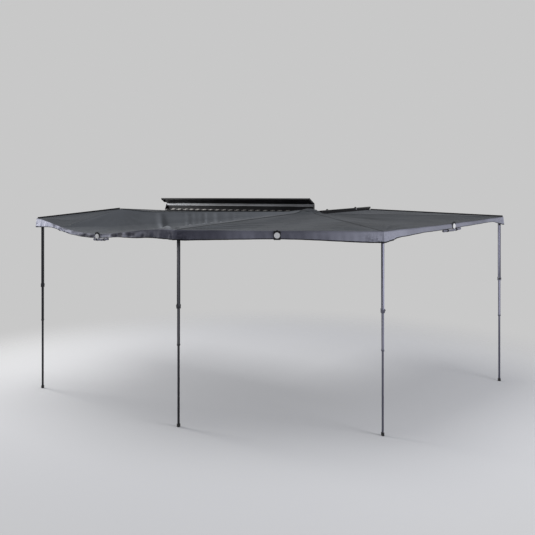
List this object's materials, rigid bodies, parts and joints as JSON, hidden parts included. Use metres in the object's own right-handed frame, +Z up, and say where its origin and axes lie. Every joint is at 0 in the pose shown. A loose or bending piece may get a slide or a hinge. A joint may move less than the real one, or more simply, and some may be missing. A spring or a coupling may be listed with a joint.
{
  "type": "vehicle side awning",
  "caption": "Fan-shaped awning that swings out of a long case beside a vehicle: arms on one hub, a folding extension, drop-down poles and a gored canopy",
  "frame": {"origin": "on the flat back of the case's wall, at mid length, level with the hub's middle", "axes": "+X along the case to the vehicle's rear, +Y towards the vehicle, +Z up"},
  "size_m": [4.2851, 3.4473, 2.1657],
  "materials": {
    "arm_alloy": "satin dark grey powder coat",
    "black_alloy": "satin black anodised extrusion",
    "bright_alloy": "bright brushed extrusion",
    "cast_black": "black cast and coated",
    "cloth": "dark grey coated woven cloth",
    "plastic": "fine textured black",
    "pole_alloy": "dark grey anodised, slightly violet in the light",
    "rubber": "matt black",
    "strap": "black webbing"
  },
  "bodies": {
    "case": {"back_wall": "black_alloy", "floor_tray": "black_alloy", "bright_strip": "bright_alloy", "cloth_rail": "bright_alloy", "case_end_front": "plastic", "case_end_rear": "plastic", "hub_bracket": "cast_black", "rear_rail": "black_alloy", "rear_rail_stud_1": "bright_alloy", "rear_rail_stud_2": "bright_alloy", "rack_bracket_1": "black_alloy", "rack_bracket_2": "black_alloy", "rack_bracket_3": "black_alloy"},
    "lid": {"lid_panel": "black_alloy", "lid_end_front": "plastic", "lid_end_rear": "plastic"},
    "arm_1": {"knuckle_1": "cast_black", "arm_1_beam": "arm_alloy", "elbow_eye": "cast_black", "canopy_front_gore": "cloth"},
    "arm_2": {"knuckle_2": "cast_black", "arm_2_beam": "arm_alloy", "arm_2_tip": "cast_black", "canopy_side_gore_front": "cloth", "strap_tab_1": "strap"},
    "arm_3": {"knuckle_3": "cast_black", "arm_3_beam": "arm_alloy", "arm_3_tip": "cast_black", "canopy_side_gore_rear": "cloth", "strap_tab_2": "strap"},
    "arm_4": {"knuckle_4": "cast_black", "arm_4_beam": "arm_alloy", "arm_4_tip": "cast_black", "canopy_corner_gore": "cloth", "canopy_rear_gore": "cloth", "strap_tab_3": "strap"},
    "extension": {"extension_fork": "cast_black", "extension_beam": "arm_alloy", "extension_tip": "cast_black", "canopy_corner_piece": "cloth"},
    "pole_1_outer": {"pole_1_outer": "pole_alloy"},
    "pole_1_middle": {"pole_1_middle": "pole_alloy"},
    "pole_1_lower": {"pole_1_lower": "pole_alloy", "pole_1_foot": "rubber"},
    "pole_1_knob": {"pole_1_knob": "plastic"},
    "pole_2_outer": {"pole_2_outer": "pole_alloy"},
    "pole_2_middle": {"pole_2_middle": "pole_alloy"},
    "pole_2_lower": {"pole_2_lower": "pole_alloy", "pole_2_foot": "rubber"},
    "pole_2_knob": {"pole_2_knob": "plastic"},
    "pole_3_outer": {"pole_3_outer": "pole_alloy"},
    "pole_3_middle": {"pole_3_middle": "pole_alloy"},
    "pole_3_lower": {"pole_3_lower": "pole_alloy", "pole_3_foot": "rubber"},
    "pole_3_knob": {"pole_3_knob": "plastic"},
    "pole_4_outer": {"pole_4_outer": "pole_alloy"},
    "pole_4_middle": {"pole_4_middle": "pole_alloy"},
    "pole_4_lower": {"pole_4_lower": "pole_alloy", "pole_4_foot": "rubber"},
    "pole_4_knob": {"pole_4_knob": "plastic"}
  },
  "joints": [
    {"name": "lid_hinge", "type": "hinge", "parent": "case", "child": "lid", "pos_m": [0, -0.016, 0.128], "axis": [-1, 0, 0], "range_deg": [-42, 0]},
    {"name": "arm_1_swing", "type": "hinge", "parent": "case", "child": "arm_1", "pos_m": [1.14, -0.068, 0], "axis": [0, 0, 1], "range_deg": [-36.4, 0], "deforming": ["canopy_front_gore", "canopy_side_gore_front"]},
    {"name": "arm_2_swing", "type": "hinge", "parent": "arm_1", "child": "arm_2", "pos_m": [1.14, -0.068, 0], "axis": [0.0616, -0.038, 0.9974], "range_deg": [-43.9, 0], "deforming": ["canopy_side_gore_front", "canopy_side_gore_rear", "strap_tab_1"]},
    {"name": "arm_3_swing", "type": "hinge", "parent": "arm_2", "child": "arm_3", "pos_m": [1.14, -0.068, 0], "axis": [-0.0127, -0.0053, 0.9999], "range_deg": [-65, 0], "deforming": ["canopy_side_gore_rear", "canopy_corner_gore", "strap_tab_2"]},
    {"name": "arm_4_swing", "type": "hinge", "parent": "arm_3", "child": "arm_4", "pos_m": [1.14, -0.068, 0], "axis": [0.0028, -0.048, 0.9988], "range_deg": [-76.26, 0], "deforming": ["canopy_corner_gore", "canopy_rear_gore", "strap_tab_3"]},
    {"name": "extension_fold", "type": "hinge", "parent": "arm_1", "child": "extension", "pos_m": [-0.61322, -1.38047, 0.006], "axis": [0.0337, 0.0248, -0.9991], "range_deg": [-180, 0], "deforming": ["canopy_corner_piece", "canopy_side_gore_front"]},
    {"name": "pole_1_fold", "type": "hinge", "parent": "extension", "child": "pole_1_outer", "pos_m": [-1.31014, -1.8744, -0.10084], "axis": [0.5934, -0.8049, 0], "range_deg": [-85.2, 0]},
    {"name": "pole_1_height", "type": "slide", "parent": "pole_1_outer", "child": "pole_1_middle", "axis": [0, 0, -1], "range_m": [-0.2292, 0]},
    {"name": "pole_1_reach", "type": "slide", "parent": "pole_1_middle", "child": "pole_1_lower", "axis": [0, 0, -1], "range_m": [-0.7005, 0]},
    {"name": "pole_1_knob_turn", "type": "hinge", "parent": "pole_1_outer", "child": "pole_1_knob", "pos_m": [-1.31014, -1.8744, -0.80384], "axis": [-0.5934, 0.8049, 0], "range_deg": [-90, 0]},
    {"name": "pole_2_fold", "type": "hinge", "parent": "arm_2", "child": "pole_2_outer", "pos_m": [0.80028, -1.87613, -0.13167], "axis": [-0.9854, 0.1702, 0], "range_deg": [-93.1, 0]},
    {"name": "pole_2_height", "type": "slide", "parent": "pole_2_outer", "child": "pole_2_middle", "axis": [0, 0, -1], "range_m": [-0.1983, 0]},
    {"name": "pole_2_reach", "type": "slide", "parent": "pole_2_middle", "child": "pole_2_lower", "axis": [0, 0, -1], "range_m": [-0.7005, 0]},
    {"name": "pole_2_knob_turn", "type": "hinge", "parent": "pole_2_outer", "child": "pole_2_knob", "pos_m": [0.80028, -1.87613, -0.83467], "axis": [-0.9854, 0.1702, 0], "range_deg": [-90, 0]},
    {"name": "pole_3_fold", "type": "hinge", "parent": "arm_3", "child": "pole_3_outer", "pos_m": [2.47665, -0.96411, -0.13327], "axis": [-0.5707, -0.8211, 0], "range_deg": [-92.25, 0]},
    {"name": "pole_3_height", "type": "slide", "parent": "pole_3_outer", "child": "pole_3_middle", "axis": [0, 0, -1], "range_m": [-0.1967, 0]},
    {"name": "pole_3_reach", "type": "slide", "parent": "pole_3_middle", "child": "pole_3_lower", "axis": [0, 0, -1], "range_m": [-0.7005, 0]},
    {"name": "pole_3_knob_turn", "type": "hinge", "parent": "pole_3_outer", "child": "pole_3_knob", "pos_m": [2.47665, -0.96411, -0.83627], "axis": [-0.5707, -0.8211, 0], "range_deg": [-90, 0]},
    {"name": "pole_4_fold", "type": "hinge", "parent": "arm_4", "child": "pole_4_outer", "pos_m": [2.86789, 1.41935, -0.06226], "axis": [0.6613, -0.7501, 0], "range_deg": [-88.85, 0]},
    {"name": "pole_4_height", "type": "slide", "parent": "pole_4_outer", "child": "pole_4_middle", "axis": [0, 0, -1], "range_m": [-0.2677, 0]},
    {"name": "pole_4_reach", "type": "slide", "parent": "pole_4_middle", "child": "pole_4_lower", "axis": [0, 0, -1], "range_m": [-0.7005, 0]},
    {"name": "pole_4_knob_turn", "type": "hinge", "parent": "pole_4_outer", "child": "pole_4_knob", "pos_m": [2.86789, 1.41935, -0.76526], "axis": [0.6613, -0.7501, 0], "range_deg": [-90, 0]}
  ],
  "couplings": [
    {"joint": "pole_1_reach", "follows": "pole_1_fold", "m_per_rad": 0.47074},
    {"joint": "pole_2_reach", "follows": "pole_2_fold", "m_per_rad": 0.43079},
    {"joint": "pole_3_reach", "follows": "pole_3_fold", "m_per_rad": 0.43477},
    {"joint": "pole_4_reach", "follows": "pole_4_fold", "m_per_rad": 0.4514}
  ]
}
